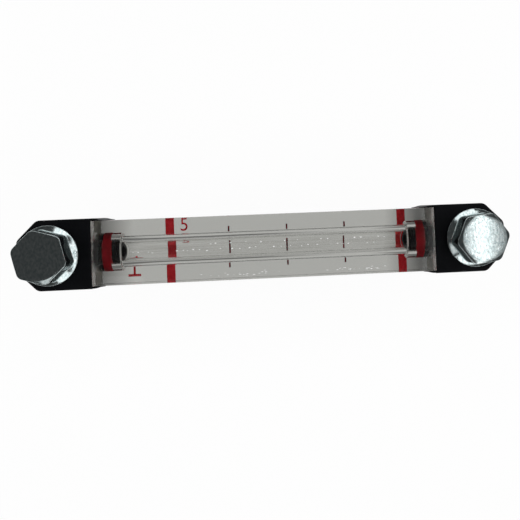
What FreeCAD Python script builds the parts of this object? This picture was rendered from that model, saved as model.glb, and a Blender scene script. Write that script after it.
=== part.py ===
import FreeCAD, Part
import math
import os
import Sketcher

# Oil level gauge, lying face up on the tips of its two hollow bolts.
# X runs along the gauge, Y across it and Z out of its front. The origin is on
# the surface that the gauge lies on, midway between the bolts. Lengths are in
# millimetres and turns in degrees.

SIZES = [
    # name, value, what it measures
    ("bolt_spacing", 150.0, "between the two bolt axes"),
    ("bolt_reach", 18.0, "bolt past the seat of the end blocks"),
    ("block_inner", 14.25, "bolt axis to the face that meets the sight bar"),
    ("block_outer", 11.2, "bolt axis to the outer end of the block"),
    ("block_depth", 20.0, "end block from seat to front"),
    ("nose_cut", 7.0, "leg of the block's two slanted outer corners"),
    ("nose_round", 3.0, "radius at the ends of the slants"),
    ("front_round", 0.6, "radius round the front of the block"),
    ("seat_bevel", 0.5, "bevel round the seat of the block"),
    ("bar_width", 22.75, "sight bar across the gauge"),
    ("bar_depth", 18.0, "sight bar from back to front"),
    ("wall_gap", 1.5, "sight bar clear of the wall it is bolted to"),
    ("bar_bevel", 0.3, "broken long edges of the sight bar"),
    ("bore_width", 11.0, "diameter of the oil bore in the sight bar"),
    ("socket_width", 13.5, "diameter of the socket for a spigot"),
    ("socket_depth", 9.7, "depth of the socket"),
    ("socket_lead", 0.4, "bevel at the mouth of the socket"),
    ("cheek_reach", 4.0, "cheek of the block past the end of the bar"),
    ("cheek_root", 0.85, "thickness of the cheek where it leaves the block"),
    ("cheek_tip", 0.25, "thickness of the cheek at its free end"),
    ("cheek_margin", 1.0, "cheek held back from the bar's front and back"),
    ("cheek_gap", 0.05, "cheek clear of the bar's side"),
    ("spigot_gap", 0.15, "spigot clear of the socket, on the radius"),
    ("spigot_end_gap", 0.5, "spigot clear of the bottom of the socket"),
    ("neck_length", 2.9, "spigot from the block to its ring groove"),
    ("groove_length", 3.7, "ring groove along the spigot"),
    ("land_length", 1.45, "collar past the ring groove"),
    ("tip_width", 11.4, "diameter of the spigot's tip"),
    ("tip_bevel", 0.5, "bevel round the spigot's end"),
    ("port_width", 6.0, "diameter of the oil port through the spigot"),
    ("spigot_ring_height", 2.55, "pressed spigot ring, on the radius"),
    ("spigot_ring_gap", 0.1, "spigot ring clear of its groove, each side"),
    ("spigot_ring_bevel", 0.7, "bevels of the pressed spigot ring"),
    ("shank_width", 9.9, "diameter of the bolt's shank"),
    ("shank_gap", 0.3, "bolt hole clear of the shank, on the radius"),
    ("relief_width", 8.6, "diameter of the run-out above the bolt's thread"),
    ("relief_height", 2.0, "length of the run-out, from the seat up"),
    ("waist_width", 8.2, "diameter of the bolt where oil passes round it"),
    ("waist_height", 8.0, "length of the bolt's waist"),
    ("shank_slant", 0.5, "height of the slants beside the waist and the run-out"),
    ("head_ring_width", 2.1, "ring under the bolt head, on the radius"),
    ("head_ring_height", 1.6, "pressed height of the ring under the head"),
    ("head_ring_gap", 0.15, "ring under the head clear of bolt and block"),
    ("head_ring_bevel", 0.45, "bevels of the pressed ring under the head"),
    ("wall_groove_inner", 6.9, "inner radius of the groove in the seat"),
    ("wall_ring_section", 2.5, "section of the ring in the seat"),
    ("wall_ring_bevel", 0.73, "bevels that make this section eight-sided"),
    ("wall_ring_gap", 0.1, "ring in the seat clear of its groove, each side"),
    ("wall_ring_proud", 0.5, "ring in the seat stands out of its groove"),
    ("flange_width", 20.8, "diameter of the bolt's flange"),
    ("flange_rim", 1.5, "upright rim of the flange"),
    ("flange_bevel", 0.25, "bevels of the flange's rim"),
    ("flange_rise", 1.2, "flange from its rim up to the hexagon"),
    ("head_height", 9.8, "bolt head from block to top"),
    ("hex_across", 16.5, "hexagon across its flats"),
    ("hex_corner_cut", 0.75, "hexagon's sides cut short at its corners"),
    ("hex_top", 15.0, "flat circle on top of the hexagon"),
    ("hex_bevel", 0.75, "bevel's height at the hexagon's full corners"),
    ("hollow_width", 5.0, "diameter of the hollow up the bolt"),
    ("hollow_past_port", 1.5, "hollow carried on past the hole across it"),
    ("drill_slope", 59.0, "wall of the drill point that ends the hollow, from the axis"),
    ("bolt_port", 4.2, "diameter of the hole across the bolt"),
    ("bolt_bevel", 1.0, "bevel at the bolt's tip"),
    ("left_bolt_turn", -15.8, "left bolt as tightened, about Z"),
    ("right_bolt_turn", 7.0, "right bolt as tightened, about Z"),
]

# Radii, lengths and heights that several outlines share, as expressions on the
# sheet. Heights start at the seat, and lengths at the nearest bolt's axis.
BAR_SIDE = "(Sizes.bar_width / 2)"
BLOCK_HALF = "(Sizes.bar_width / 2 + Sizes.cheek_gap + Sizes.cheek_root)"
BAR_END = "(Sizes.bolt_spacing / 2 - Sizes.block_inner)"
BAR_FRONT = "(Sizes.wall_gap + Sizes.bar_depth)"
OIL_AXIS = "(Sizes.wall_gap + Sizes.bar_depth / 2)"
SOCKET_RADIUS = "(Sizes.socket_width / 2)"
SPIGOT_RADIUS = "(Sizes.socket_width / 2 - Sizes.spigot_gap)"
GROOVE_RADIUS = "(Sizes.socket_width / 2 - Sizes.spigot_ring_height)"
GROOVE_START = "(Sizes.block_inner + Sizes.neck_length)"
GROOVE_END = "(Sizes.block_inner + Sizes.neck_length + Sizes.groove_length)"
SPIGOT_END = "(Sizes.block_inner + Sizes.socket_depth - Sizes.spigot_end_gap)"
SHANK_RADIUS = "(Sizes.shank_width / 2)"
HOLE_RADIUS = "(Sizes.shank_width / 2 + Sizes.shank_gap)"
HEAD_RING_INNER = "(Sizes.shank_width / 2 + Sizes.head_ring_gap)"
HEAD_RING_OUTER = "(Sizes.shank_width / 2 + Sizes.head_ring_gap + Sizes.head_ring_width)"
HEAD_RING_SEAT = "(Sizes.block_depth - Sizes.head_ring_height)"
WALL_GROOVE_OUTER = "(Sizes.wall_groove_inner + Sizes.wall_ring_section + 2 * Sizes.wall_ring_gap)"
WALL_GROOVE_DEPTH = "(Sizes.wall_ring_section - Sizes.wall_ring_proud)"
FLANGE_RADIUS = "(Sizes.flange_width / 2)"
FLANGE_TOP = "(Sizes.block_depth + Sizes.flange_rim)"
HEAD_TOP = "(Sizes.block_depth + Sizes.head_height)"
HEX_CORNER = "(Sizes.hex_across / 2 / cos(30))"

# Each end's side of the middle.
ENDS = {"left": -1, "right": 1}

# Points closer than this, in millimetres, are one place, and a cut has to take
# away more than this, in cubic millimetres.
SAME_PLACE = 1e-4
LEAST_CUT = 1e-6


def make_sheet(doc):
    sheet = doc.addObject("Spreadsheet::Sheet", "Sizes")
    for row, (name, value, note) in enumerate(SIZES, start=1):
        sheet.set("A%d" % row, name)
        sheet.set("B%d" % row, str(value))
        sheet.set("C%d" % row, note)
        sheet.setAlias("B%d" % row, name)
    doc.recompute()


def make_body(doc, label):
    body = doc.addObject("PartDesign::Body", label)
    body.Label = label
    return body


def origin_plane(body, role):
    return next(item for item in body.Origin.OriginFeatures if item.Role == role)


def make_sketch(body, name, role, height="0", shift="0"):
    """A sketch on an origin plane, moved by height along its normal and by shift along its own Y."""
    sketch = body.newObject("Sketcher::SketchObject", name)
    sketch.AttachmentSupport = [(origin_plane(body, role), "")]
    sketch.MapMode = "FlatFace"
    sketch.setExpression("AttachmentOffset.Base.z", height)
    sketch.setExpression("AttachmentOffset.Base.y", shift)
    return sketch


def number(item, expression):
    """The present value of an expression on the sheet."""
    value = item.evalExpression(expression)
    return float(getattr(value, "Value", value))


def point_at(sketch, corner):
    return FreeCAD.Vector(number(sketch, corner[0]), number(sketch, corner[1]), 0)


def tie_point(sketch, geometry, end, corner):
    """Hold one point of the sketch at a corner, which is a pair of expressions."""
    for kind, expression in zip(("DistanceX", "DistanceY"), corner):
        rule = Sketcher.Constraint(kind, -1, 1, geometry, end, number(sketch, expression))
        index = sketch.addConstraint(rule)
        sketch.setExpression("Constraints[%d]" % index, expression)


def draw_circle(sketch, centre, radius):
    """A circle whose centre and radius are expressions on the sheet."""
    circle = Part.Circle(point_at(sketch, centre), FreeCAD.Vector(0, 0, 1), number(sketch, radius))
    geometry = sketch.addGeometry(circle)
    tie_point(sketch, geometry, 3, centre)
    index = sketch.addConstraint(Sketcher.Constraint("Radius", geometry, number(sketch, radius)))
    sketch.setExpression("Constraints[%d]" % index, radius)


def draw_outline(sketch, corners):
    """A closed outline of straight lines; each corner is a pair of expressions."""
    points = [point_at(sketch, corner) for corner in corners]
    count = len(points)
    for place, point in enumerate(points):
        sketch.addGeometry(Part.LineSegment(point, points[(place + 1) % count]))
    for place, corner in enumerate(corners):
        sketch.addConstraint(Sketcher.Constraint("Coincident", place, 2, (place + 1) % count, 1))
        tie_point(sketch, place, 1, corner)


def draw_cheek(sketch):
    """Plan of one cheek: flat beside the bar, its outer side an S that runs out to a thin tip."""
    inner = BAR_SIDE + " + Sizes.cheek_gap"
    thin = BAR_SIDE + " + Sizes.cheek_gap + Sizes.cheek_tip"
    tip = "Sizes.block_inner + Sizes.cheek_reach"
    buried = "Sizes.block_inner - Sizes.cheek_reach"
    corners = [
        (buried, BLOCK_HALF),
        (buried, inner),
        (tip, inner),
        (tip, thin),
        ("Sizes.block_inner", BLOCK_HALF),
    ]
    points = [point_at(sketch, corner) for corner in corners]
    thin_end, root = points[3], points[4]
    # Two equal arcs, each leaving its end along X, meet halfway.
    half_length = (thin_end.x - root.x) / 2
    half_rise = (root.y - thin_end.y) / 2
    radius = (half_length ** 2 + half_rise ** 2) / (2 * half_rise)
    sweep = math.asin(half_length / radius)
    up = FreeCAD.Vector(0, 0, 1)
    low = Part.Circle(thin_end + FreeCAD.Vector(0, radius, 0), up, radius)
    high = Part.Circle(root - FreeCAD.Vector(0, radius, 0), up, radius)
    quarter = math.pi / 2
    for first, last in ((0, 1), (1, 2), (2, 3), (4, 0)):
        sketch.addGeometry(Part.LineSegment(points[first], points[last]))
    sketch.addGeometry(Part.ArcOfCircle(low, 3 * quarter - sweep, 3 * quarter))
    sketch.addGeometry(Part.ArcOfCircle(high, quarter - sweep, quarter))
    back, side, end, outer, low_arc, high_arc = range(6)
    joints = [
        (back, 2, side, 1),
        (side, 2, end, 1),
        (end, 2, low_arc, 2),
        (outer, 1, high_arc, 2),
        (outer, 2, back, 1),
    ]
    for joint in joints:
        sketch.addConstraint(Sketcher.Constraint("Coincident", *joint))
    sketch.addConstraint(Sketcher.Constraint("Tangent", low_arc, 1, high_arc, 1))
    for arc in (low_arc, high_arc):
        sketch.addConstraint(Sketcher.Constraint("Vertical", arc, 3, arc, 2))
    for geometry, corner in ((back, 0), (side, 1), (end, 2), (outer, 4)):
        tie_point(sketch, geometry, 1, corners[corner])
    tie_point(sketch, end, 2, corners[3])


def set_sides(feature, both_ways):
    if both_ways:
        feature.SideType = "Symmetric"


def pad(body, name, sketch, length, both_ways=False):
    feature = body.newObject("PartDesign::Pad", name)
    feature.Profile = sketch
    feature.setExpression("Length", length)
    set_sides(feature, both_ways)
    body.Document.recompute()
    return feature


def check_cut(body, feature):
    """Stop if a cut took nothing away."""
    body.Document.recompute()
    if not feature.Shape.Volume < feature.BaseFeature.Shape.Volume - LEAST_CUT:
        raise RuntimeError("%s in %s cuts nothing" % (feature.Name, body.Label))


def pocket(body, name, sketch, length, reverse=False, both_ways=False):
    feature = body.newObject("PartDesign::Pocket", name)
    feature.Profile = sketch
    feature.setExpression("Length", length)
    feature.Reversed = reverse
    set_sides(feature, both_ways)
    check_cut(body, feature)
    return feature


def revolve(body, name, sketch, axis):
    """Material turned about one of the sketch's own two axes."""
    feature = body.newObject("PartDesign::Revolution", name)
    feature.Profile = sketch
    feature.ReferenceAxis = (sketch, [axis])
    feature.Angle = 360
    body.Document.recompute()
    return feature


def groove(body, name, sketch, axis):
    """A cut turned about one of the sketch's own two axes."""
    feature = body.newObject("PartDesign::Groove", name)
    feature.Profile = sketch
    feature.ReferenceAxis = (sketch, [axis])
    feature.Angle = 360
    check_cut(body, feature)
    return feature


def mirror(body, name, original, role):
    feature = body.newObject("PartDesign::Mirrored", name)
    feature.Originals = [original]
    feature.MirrorPlane = (origin_plane(body, role), [""])
    body.Tip = feature
    body.Document.recompute()
    return feature


def three_points(edge):
    """Both ends of an edge and its middle."""
    middle = (edge.FirstParameter + edge.LastParameter) / 2
    return [edge.valueAt(place) for place in (edge.FirstParameter, middle, edge.LastParameter)]


def dress_edges(body, kind, name, size_name, size, chosen):
    """A Fillet or Chamfer on every edge whose three points pass the test."""
    base = body.Tip
    names = [
        "Edge%d" % place
        for place, edge in enumerate(base.Shape.Edges, start=1)
        if chosen(three_points(edge))
    ]
    feature = body.newObject("PartDesign::" + kind, name)
    feature.Base = (base, names)
    feature.setExpression(size_name, size)
    body.Document.recompute()
    return feature


def round_edges(body, name, radius, chosen):
    return dress_edges(body, "Fillet", name, "Radius", radius, chosen)


def bevel_edges(body, name, size, chosen):
    return dress_edges(body, "Chamfer", name, "Size", size, chosen)


def near(first, second):
    return abs(first - second) < SAME_PLACE


def place_at_end(body, end, turn):
    """Stand a piece, drawn about its bolt's axis, at one end of the gauge."""
    # A placement with no turn keeps no axis, so this one starts slightly turned.
    start_turn = 1
    body.Placement = FreeCAD.Placement(FreeCAD.Vector(), FreeCAD.Vector(0, 0, 1), start_turn)
    body.setExpression("Placement.Base.x", "%d * Sizes.bolt_spacing / 2" % ENDS[end])
    body.setExpression("Placement.Base.z", "Sizes.bolt_reach")
    body.setExpression("Placement.Rotation.Angle", turn)


def facing_middle(end):
    """Turn that points a piece's X at the middle of the gauge."""
    return "0" if ENDS[end] < 0 else "180"


def make_sight_bar(doc):
    """Clear bar with an oil bore along it and a socket at each end."""
    body = make_body(doc, "sight_bar")
    section = make_sketch(body, "BarSection", "YZ_Plane")
    draw_outline(section, [
        ("-" + BAR_SIDE, "Sizes.wall_gap"),
        (BAR_SIDE, "Sizes.wall_gap"),
        (BAR_SIDE, BAR_FRONT),
        ("-" + BAR_SIDE, BAR_FRONT),
    ])
    pad(body, "Bar", section, "2 * " + BAR_END, both_ways=True)
    side = number(body, BAR_SIDE)
    back = number(body, "Sizes.wall_gap")
    front = number(body, BAR_FRONT)

    def at_long_edge(point):
        return near(abs(point.y), side) and (near(point.z, back) or near(point.z, front))

    bevel_edges(body, "LongEdges", "Sizes.bar_bevel", lambda points: all(at_long_edge(p) for p in points))
    bore = make_sketch(body, "BoreSection", "YZ_Plane")
    draw_circle(bore, ("0", OIL_AXIS), "Sizes.bore_width / 2")
    pocket(body, "Bore", bore, "2 * " + BAR_END, both_ways=True)
    outline = make_sketch(body, "SocketOutline", "XZ_Plane", shift=OIL_AXIS)
    bottom = BAR_END + " - Sizes.socket_depth"
    draw_outline(outline, [
        (bottom, "0"),
        (BAR_END, "0"),
        (BAR_END, SOCKET_RADIUS + " + Sizes.socket_lead"),
        (BAR_END + " - Sizes.socket_lead", SOCKET_RADIUS),
        (bottom, SOCKET_RADIUS),
    ])
    socket = groove(body, "Socket", outline, "H_Axis")
    mirror(body, "OtherSocket", socket, "YZ_Plane")
    body.setExpression("Placement.Base.z", "Sizes.bolt_reach")
    return body


def add_block(body):
    """The block itself, with slanted outer corners, a rounded front and a bevelled seat."""
    plan = make_sketch(body, "BlockPlan", "XY_Plane")
    end = "-Sizes.block_outer"
    shoulder = "-Sizes.block_outer + Sizes.nose_cut"
    nose = BLOCK_HALF + " - Sizes.nose_cut"
    draw_outline(plan, [
        ("Sizes.block_inner", "-" + BLOCK_HALF),
        ("Sizes.block_inner", BLOCK_HALF),
        (shoulder, BLOCK_HALF),
        (end, nose),
        (end, "-(" + nose + ")"),
        (shoulder, "-" + BLOCK_HALF),
    ])
    pad(body, "Block", plan, "Sizes.block_depth")
    front = number(body, "Sizes.block_depth")

    def upright(points):
        return near(points[0].x, points[2].x) and near(points[0].y, points[2].y)

    round_edges(body, "NoseCorners", "Sizes.nose_round", lambda points: upright(points) and points[0].x < 0)
    round_edges(body, "FrontEdges", "Sizes.front_round", lambda points: all(near(p.z, front) for p in points))
    bevel_edges(body, "SeatEdges", "Sizes.seat_bevel", lambda points: all(near(p.z, 0) for p in points))


def add_cheeks(body):
    """Two cheeks that run along the sides of the sight bar."""
    plan = make_sketch(body, "CheekPlan", "XY_Plane", height="Sizes.wall_gap + Sizes.cheek_margin")
    draw_cheek(plan)
    cheek = pad(body, "Cheek", plan, "Sizes.bar_depth - 2 * Sizes.cheek_margin")
    mirror(body, "OtherCheek", cheek, "XZ_Plane")


def add_spigot(body):
    """Spigot with a ring groove and a collar, turned about the oil axis, and the port through it."""
    outline = make_sketch(body, "SpigotOutline", "XZ_Plane", shift=OIL_AXIS)
    # The root is buried in the block, halfway from its inner face to the bolt's axis.
    root = "Sizes.block_inner / 2"
    tip_radius = "Sizes.tip_width / 2"
    land_end = GROOVE_END + " + Sizes.land_length"
    draw_outline(outline, [
        (root, "0"),
        (SPIGOT_END, "0"),
        (SPIGOT_END, tip_radius + " - Sizes.tip_bevel"),
        (SPIGOT_END + " - Sizes.tip_bevel", tip_radius),
        (land_end, tip_radius),
        (land_end, SPIGOT_RADIUS),
        (GROOVE_END, SPIGOT_RADIUS),
        (GROOVE_END, GROOVE_RADIUS),
        (GROOVE_START, GROOVE_RADIUS),
        (GROOVE_START, SPIGOT_RADIUS),
        (root, SPIGOT_RADIUS),
    ])
    revolve(body, "Spigot", outline, "H_Axis")
    port = make_sketch(body, "PortSection", "YZ_Plane")
    draw_circle(port, ("0", OIL_AXIS), "Sizes.port_width / 2")
    pocket(body, "OilPort", port, SPIGOT_END, reverse=True)


def add_bolt_hole(body):
    """Hole for the bolt with a seat for the ring under its head, and a ring groove in the seat."""
    outline = make_sketch(body, "BoltHoleOutline", "XZ_Plane")
    ring_seat_radius = HEAD_RING_OUTER + " + Sizes.head_ring_gap"
    draw_outline(outline, [
        ("0", "0"),
        (HOLE_RADIUS, "0"),
        (HOLE_RADIUS, HEAD_RING_SEAT),
        (ring_seat_radius, HEAD_RING_SEAT),
        (ring_seat_radius, "Sizes.block_depth"),
        ("0", "Sizes.block_depth"),
    ])
    groove(body, "BoltHole", outline, "V_Axis")
    wall_groove = make_sketch(body, "WallGrooveOutline", "XZ_Plane")
    draw_outline(wall_groove, [
        ("Sizes.wall_groove_inner", "0"),
        (WALL_GROOVE_OUTER, "0"),
        (WALL_GROOVE_OUTER, WALL_GROOVE_DEPTH),
        ("Sizes.wall_groove_inner", WALL_GROOVE_DEPTH),
    ])
    groove(body, "WallGroove", wall_groove, "V_Axis")


def make_end_block(doc, end):
    """Moulded end block, which carries the bar on its spigot and takes the bolt."""
    body = make_body(doc, end + "_end_block")
    add_block(body)
    add_cheeks(body)
    add_spigot(body)
    add_bolt_hole(body)
    place_at_end(body, end, facing_middle(end))
    return body


def hexagon_corners():
    """Corners of a hexagon whose own corners are cut off straight."""
    corners = []
    for turn in range(0, 360, 60):
        for along in (turn - 120, turn + 120):
            corners.append(tuple(
                "%s * %s(%d) + Sizes.hex_corner_cut * %s(%d)" % (HEX_CORNER, way, turn, way, along)
                for way in ("cos", "sin")
            ))
    return corners


def make_bolt(doc, end):
    """Hollow bolt with a flanged hexagon head, a waist and a hole across it for the oil."""
    body = make_body(doc, end + "_hollow_bolt")
    outline = make_sketch(body, "BoltOutline", "XZ_Plane")
    tip = "-Sizes.bolt_reach"
    hollow_radius = "Sizes.hollow_width / 2"
    hollow_end = OIL_AXIS + " + Sizes.bolt_port / 2 + Sizes.hollow_past_port"
    drill_point = hollow_end + " + Sizes.hollow_width / 2 / tan(Sizes.drill_slope)"
    relief_radius = "Sizes.relief_width / 2"
    waist_radius = "Sizes.waist_width / 2"
    waist_low = OIL_AXIS + " - Sizes.waist_height / 2"
    waist_high = OIL_AXIS + " + Sizes.waist_height / 2"
    draw_outline(outline, [
        ("0", drill_point),
        (hollow_radius, hollow_end),
        (hollow_radius, tip),
        (SHANK_RADIUS + " - Sizes.bolt_bevel", tip),
        (SHANK_RADIUS, tip + " + Sizes.bolt_bevel"),
        (SHANK_RADIUS, "0"),
        (relief_radius, "Sizes.shank_slant"),
        (relief_radius, "Sizes.relief_height - Sizes.shank_slant"),
        (SHANK_RADIUS, "Sizes.relief_height"),
        (SHANK_RADIUS, waist_low + " - Sizes.shank_slant"),
        (waist_radius, waist_low),
        (waist_radius, waist_high),
        (SHANK_RADIUS, waist_high + " + Sizes.shank_slant"),
        (SHANK_RADIUS, "Sizes.block_depth"),
        (FLANGE_RADIUS + " - Sizes.flange_bevel", "Sizes.block_depth"),
        (FLANGE_RADIUS, "Sizes.block_depth + Sizes.flange_bevel"),
        (FLANGE_RADIUS, FLANGE_TOP + " - Sizes.flange_bevel"),
        (FLANGE_RADIUS + " - Sizes.flange_bevel", FLANGE_TOP),
        ("Sizes.hex_top / 2", FLANGE_TOP + " + Sizes.flange_rise"),
        ("0", FLANGE_TOP + " + Sizes.flange_rise"),
    ])
    revolve(body, "ShankAndFlange", outline, "V_Axis")
    plan = make_sketch(body, "HexagonPlan", "XY_Plane", height=FLANGE_TOP)
    draw_outline(plan, hexagon_corners())
    pad(body, "Hexagon", plan, "Sizes.head_height - Sizes.flange_rim")
    bevel = make_sketch(body, "HexagonBevelOutline", "XZ_Plane")
    top_radius = "Sizes.hex_top / 2"
    slope = "Sizes.hex_bevel / (" + HEX_CORNER + " - " + top_radius + ")"
    drop = "(" + FLANGE_RADIUS + " - " + top_radius + ") * " + slope
    draw_outline(bevel, [
        (top_radius, HEAD_TOP),
        (FLANGE_RADIUS, HEAD_TOP),
        (FLANGE_RADIUS, HEAD_TOP + " - " + drop),
    ])
    groove(body, "HexagonBevel", bevel, "V_Axis")
    across = make_sketch(body, "PortSection", "XZ_Plane")
    draw_circle(across, ("0", OIL_AXIS), "Sizes.bolt_port / 2")
    pocket(body, "Port", across, "Sizes.shank_width", both_ways=True)
    place_at_end(body, end, "Sizes.%s_bolt_turn" % end)
    return body


def make_ring(doc, end, label, corners, axis, shift="0"):
    """Rubber ring: a section turned about one of its sketch's two axes."""
    body = make_body(doc, label)
    section = make_sketch(body, "RingSection", "XZ_Plane", shift=shift)
    draw_outline(section, corners)
    revolve(body, "Ring", section, axis)
    place_at_end(body, end, facing_middle(end))
    return body


def eight_sided(low_x, high_x, low_y, high_y, bevel):
    """Corners of an oblong with bevelled corners, which stands for a rounded one with few faces."""
    return [
        (low_x + " + " + bevel, low_y),
        (high_x + " - " + bevel, low_y),
        (high_x, low_y + " + " + bevel),
        (high_x, high_y + " - " + bevel),
        (high_x + " - " + bevel, high_y),
        (low_x + " + " + bevel, high_y),
        (low_x, high_y + " - " + bevel),
        (low_x, low_y + " + " + bevel),
    ]


def make_spigot_ring(doc, end):
    """Ring that seals a spigot in its socket, as it is pressed in place."""
    low = GROOVE_START + " + Sizes.spigot_ring_gap"
    high = GROOVE_END + " - Sizes.spigot_ring_gap"
    corners = eight_sided(low, high, GROOVE_RADIUS, SOCKET_RADIUS, "Sizes.spigot_ring_bevel")
    return make_ring(doc, end, end + "_spigot_ring", corners, "H_Axis", shift=OIL_AXIS)


def make_head_ring(doc, end):
    """Ring pressed between the bolt's flange and the block."""
    corners = eight_sided(
        HEAD_RING_INNER, HEAD_RING_OUTER, HEAD_RING_SEAT, "Sizes.block_depth", "Sizes.head_ring_bevel"
    )
    return make_ring(doc, end, end + "_head_ring", corners, "V_Axis")


def make_wall_ring(doc, end):
    """Ring that lies in the seat's groove, ready to be pressed on a wall."""
    inner = "Sizes.wall_groove_inner + Sizes.wall_ring_gap"
    outer = inner + " + Sizes.wall_ring_section"
    corners = eight_sided(inner, outer, "-Sizes.wall_ring_proud", WALL_GROOVE_DEPTH, "Sizes.wall_ring_bevel")
    return make_ring(doc, end, end + "_wall_ring", corners, "V_Axis")


def check_model(doc, bodies):
    """Stop if any object failed or any piece isn't one valid solid."""
    for item in doc.Objects:
        if "Invalid" in item.State or "Error" in item.State:
            raise RuntimeError("%s (%s) failed: %s" % (item.Name, item.Label, item.State))
    for body in bodies:
        shape = body.Shape
        if shape.isNull() or not shape.isValid() or len(shape.Solids) != 1:
            raise RuntimeError("%s isn't one valid solid" % body.Label)


def main():
    doc = FreeCAD.newDocument("OilLevelGauge")
    make_sheet(doc)
    bodies = [make_sight_bar(doc)]
    for end in ENDS:
        bodies.append(make_end_block(doc, end))
        bodies.append(make_bolt(doc, end))
        bodies.append(make_spigot_ring(doc, end))
        bodies.append(make_head_ring(doc, end))
        bodies.append(make_wall_ring(doc, end))
    doc.recompute()
    check_model(doc, bodies)
    os.makedirs("parts", exist_ok=True)
    for body in bodies:
        body.Shape.exportStep(os.path.join("parts", body.Label + ".step"))


main()
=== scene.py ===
import random
from math import asin, atan, atan2, cos, pi, radians, sin, sqrt, tan, tau

import bmesh
import bpy
from mathutils import Euler, Matrix, Vector, noise


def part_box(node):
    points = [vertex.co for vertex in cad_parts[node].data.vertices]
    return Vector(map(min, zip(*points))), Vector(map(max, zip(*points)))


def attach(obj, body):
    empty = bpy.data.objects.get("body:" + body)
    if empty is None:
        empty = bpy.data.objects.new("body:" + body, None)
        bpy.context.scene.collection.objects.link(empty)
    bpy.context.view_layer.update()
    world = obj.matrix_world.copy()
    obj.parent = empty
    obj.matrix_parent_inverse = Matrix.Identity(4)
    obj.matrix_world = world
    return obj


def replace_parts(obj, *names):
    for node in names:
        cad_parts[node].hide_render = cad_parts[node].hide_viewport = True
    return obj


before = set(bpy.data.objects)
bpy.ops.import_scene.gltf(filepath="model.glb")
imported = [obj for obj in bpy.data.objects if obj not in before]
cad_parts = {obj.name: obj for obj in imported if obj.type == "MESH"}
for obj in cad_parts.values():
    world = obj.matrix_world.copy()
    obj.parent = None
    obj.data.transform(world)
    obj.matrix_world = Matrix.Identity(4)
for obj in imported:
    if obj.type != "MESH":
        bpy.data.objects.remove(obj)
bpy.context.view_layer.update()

# Oil level gauge: a clear bored bar between two black end blocks, held by two
# flanged hollow bolts. Lengths are in metres, written in millimetres times MM.
MM = 0.001

BAR_LOW, BAR_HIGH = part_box("sight_bar")
BLOCK_LOW, BLOCK_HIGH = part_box("left_end_block")
RING_LOW, RING_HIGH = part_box("left_spigot_ring")
BOLT_LOW, BOLT_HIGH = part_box("left_hollow_bolt")
OIL_AXIS = (BAR_LOW.z + BAR_HIGH.z) / 2
BAR_HALF_LENGTH = BAR_HIGH.x
SEAT_HEIGHT = BLOCK_LOW.z
BLOCK_FRONT = BLOCK_HIGH.z

# The clear bar. Its ends stop just short of the blocks, and its sockets grip
# the rings a little, so that no film of air lies between rubber and plastic.
END_GAP = 0.02 * MM
RING_GRIP = 0.02 * MM
BORE_RADIUS = 5.5 * MM
SOCKET_RADIUS = (RING_HIGH.z - RING_LOW.z) / 2 - RING_GRIP
SOCKET_DEPTH = 9.7 * MM
SOCKET_LEAD = 0.4 * MM
EDGE_RADIUS = 0.3 * MM
BAR_STEPS = 60
BORE_STEPS = 40
TURN_STEPS = 192

# How rough the bar is where it was cut, and over the last stretch of both ends.
END_ROUGHNESS = 0.32
SOCKET_ROUGHNESS = 0.08
SHOULDER_ROUGHNESS = 0.55
DULL_LENGTH = 5.5 * MM
DULL_ROUGHNESS = 0.26

# Painted shade: a thin brownish grey sheet on the lower part of each end of the bar, where it sits on its
# block.
SHADE_INSET = 0.1 * MM
SHADE_THICKNESS = 0.05 * MM
SHADE_MARGIN = 0.15 * MM
SHADE_TOP = OIL_AXIS + 3.0 * MM

# Painted highlights: small white slivers on the front of the bar that stand for glints
# of the lamps, a row above the bore, which is two rows from ONE_ROW_TO on, and more
# along the near edge. The rows and the spreads are in millimetres.
GLINT_SEED = 4
GLINT_COUNT = 44
GLINT_LENGTH = 0.9 * MM
GLINT_WIDTH = 0.42 * MM
GLINT_THICKNESS = 0.03 * MM
GLINT_SIZES = (0.4, 1.1)
GLINT_START = -46 * MM
GLINT_SPAN = 90 * MM
GLINT_JITTER = 0.4
GLINT_ROW_SPREAD = 0.15
ONE_ROW_TO = -20 * MM
ONE_ROW_Y = -0.35
TWO_ROWS_Y = (-0.2, 1.8)
GLINT_MARK_GAP = 3 * MM
EDGE_GLINT_Y = -9.2 * MM
EDGE_GLINT_PATCHES = (-8 * MM, 34 * MM)
EDGE_GLINT_SPREAD = (6, 0.3)
EDGE_GLINT_SIZES = (0.2, 0.7)

# The spigot rings, which bulge where nothing presses them.
RING_HEIGHT = 2.55 * MM
RING_ROUND = 0.45 * MM
RING_STEPS = 128

# The bolts: the hexagon, whose flat top runs softly into its bevel. The turns
# along a flat are in degrees from the corner before it.
BOLT_TURNS = {"left": radians(-15.8), "right": radians(7.0)}
HEX_HALF = 8.25 * MM
HEX_CORNER_ROUND = 2.4 * MM
HEX_CORNER_STEPS = 5
HEX_FLAT_TURNS = [10 + 2.5 * step for step in range(17)]
HEX_EDGE_ROUND = 0.22 * MM
HEX_TOP_SHARES = (0.3, 0.6, 0.85)
HEX_SOFT_START = 6.8 * MM
HEX_SOFT_WIDTH = 1.3 * MM
HEX_SOFT_STEPS = 8
HEX_BEVEL_SLOPE = 0.19

# The flange, and the small fillet from the hexagon to it.
FLANGE_RADIUS = BOLT_HIGH.y
FLANGE_RIM = 1.5 * MM
FLANGE_ROUND = 0.25 * MM
FLANGE_RISE = 0.88 * MM
FILLET_REACH = 0.18 * MM
FILLET_POINTS = ((0, 0.3 * MM), (0.04 * MM, 0.12 * MM))

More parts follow.
